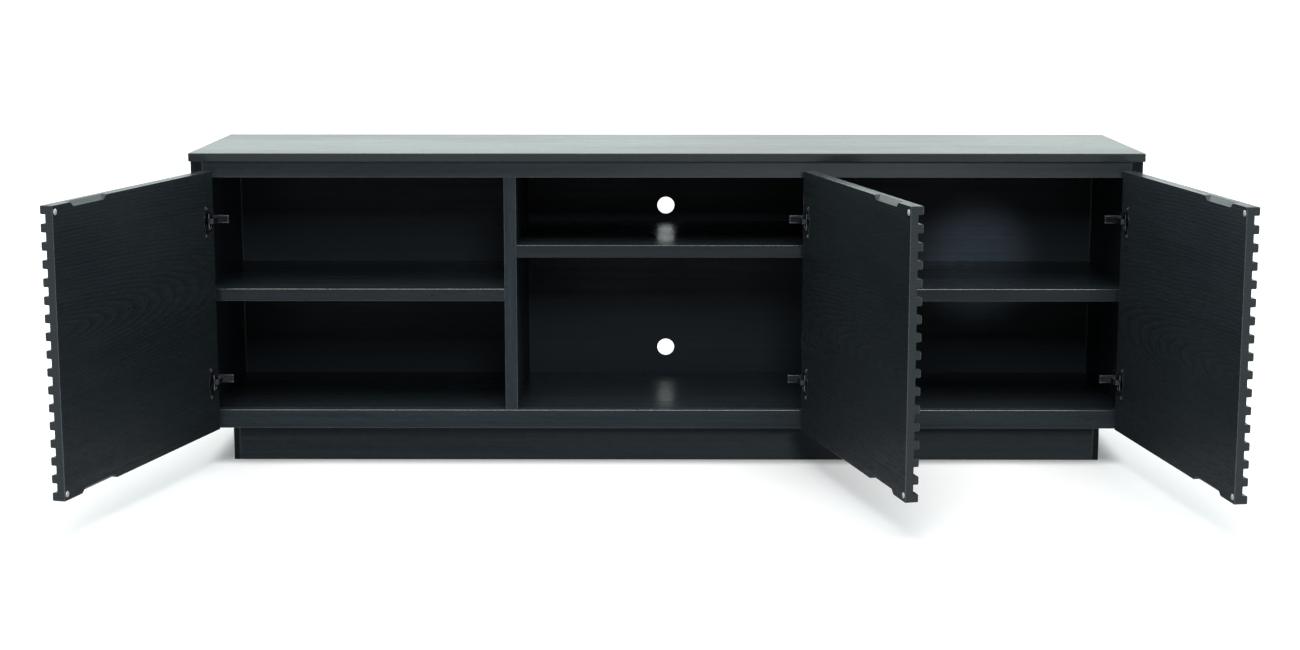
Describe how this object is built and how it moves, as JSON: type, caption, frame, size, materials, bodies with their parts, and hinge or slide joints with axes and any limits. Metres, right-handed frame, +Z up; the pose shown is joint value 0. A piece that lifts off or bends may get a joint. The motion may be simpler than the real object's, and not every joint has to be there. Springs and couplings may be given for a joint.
{
  "type": "media cabinet",
  "caption": "Long low black-stained wooden media cabinet on a recessed plinth, open bays with shelves and cable holes, and horizontally ribbed doors on concealed cup hinges.",
  "frame": {"origin": "on the floor, at the centre of the cabinet's width and of the top board's depth; the point lies on the underside of the plinth's centre brace", "axes": "+X to the right seen from the front, along the length; +Y towards the back; +Z up"},
  "size_m": [1.9884, 1.0197, 0.608],
  "materials": {
    "stained_board": "black-stained veneer under satin lacquer",
    "stained_door": "black-stained, ribbed front, satin lacquer",
    "clear_bumper": "translucent soft dome",
    "hinge_black": "black plated steel",
    "screw_steel": "zinc plated",
    "pin_steel": "nickel plated"
  },
  "bodies": {
    "cabinet": {"top_panel": "stained_board", "left_side_panel": "stained_board", "right_side_panel": "stained_board", "left_divider": "stained_board", "right_divider": "stained_board", "bottom_panel": "stained_board", "back_panel": "stained_board", "top_front_rail": "stained_board", "bottom_front_rail": "stained_board", "left_shelf": "stained_board", "centre_shelf": "stained_board", "right_shelf": "stained_board", "shelf_pins": "pin_steel", "plinth_front_board": "stained_board", "plinth_back_board": "stained_board", "plinth_left_board": "stained_board", "plinth_right_board": "stained_board", "plinth_centre_brace": "stained_board", "left_hinge_arms": "hinge_black", "left_arm_pins": "screw_steel", "left_mounting_plates": "hinge_black", "left_plate_screws": "screw_steel", "centre_hinge_arms": "hinge_black", "centre_arm_pins": "screw_steel", "centre_mounting_plates": "hinge_black", "centre_plate_screws": "screw_steel", "right_hinge_arms": "hinge_black", "right_arm_pins": "screw_steel", "right_mounting_plates": "hinge_black", "right_plate_screws": "screw_steel"},
    "left_links": {"left_hinge_links": "hinge_black"},
    "left_door": {"left_door_panel": "stained_door", "left_door_bumpers": "clear_bumper", "left_hinge_cups": "hinge_black", "left_cup_screws": "screw_steel", "left_cup_pins": "screw_steel"},
    "centre_links": {"centre_hinge_links": "hinge_black"},
    "centre_door": {"centre_door_panel": "stained_door", "centre_door_bumpers": "clear_bumper", "centre_hinge_cups": "hinge_black", "centre_cup_screws": "screw_steel", "centre_cup_pins": "screw_steel"},
    "right_links": {"right_hinge_links": "hinge_black"},
    "right_door": {"right_door_panel": "stained_door", "right_door_bumpers": "clear_bumper", "right_hinge_cups": "hinge_black", "right_cup_screws": "screw_steel", "right_cup_pins": "screw_steel"}
  },
  "joints": [
    {"name": "left_link_turn", "type": "hinge", "parent": "cabinet", "child": "left_links", "pos_m": [-0.8325, -0.1926, 0.327], "axis": [0, 0, 1], "range_deg": [-45.03, 2.46]},
    {"name": "left_door_turn", "type": "hinge", "parent": "left_links", "child": "left_door", "pos_m": [-0.86097, -0.23174, 0.327], "axis": [0, 0, -1], "range_deg": [-149.44, 7.87]},
    {"name": "centre_link_turn", "type": "hinge", "parent": "cabinet", "child": "centre_links", "pos_m": [0.23517, -0.1926, 0.327], "axis": [0, 0, -1], "range_deg": [-44.6, 2.9]},
    {"name": "centre_door_turn", "type": "hinge", "parent": "centre_links", "child": "centre_door", "pos_m": [0.26393, -0.23153, 0.327], "axis": [0, 0, 1], "range_deg": [-148, 9.29]},
    {"name": "right_link_turn", "type": "hinge", "parent": "cabinet", "child": "right_links", "pos_m": [0.8325, -0.1926, 0.327], "axis": [0, 0, -1], "range_deg": [-42.24, 5.26]},
    {"name": "right_door_turn", "type": "hinge", "parent": "right_links", "child": "right_door", "pos_m": [0.86284, -0.23031, 0.327], "axis": [0, 0, 1], "range_deg": [-140.14, 17.16]}
  ],
  "couplings": [
    {"joint": "left_link_turn", "follows": "left_door_turn", "ratio": 0.3007},
    {"joint": "centre_link_turn", "follows": "centre_door_turn", "ratio": 0.3007},
    {"joint": "right_link_turn", "follows": "right_door_turn", "ratio": 0.3007}
  ]
}
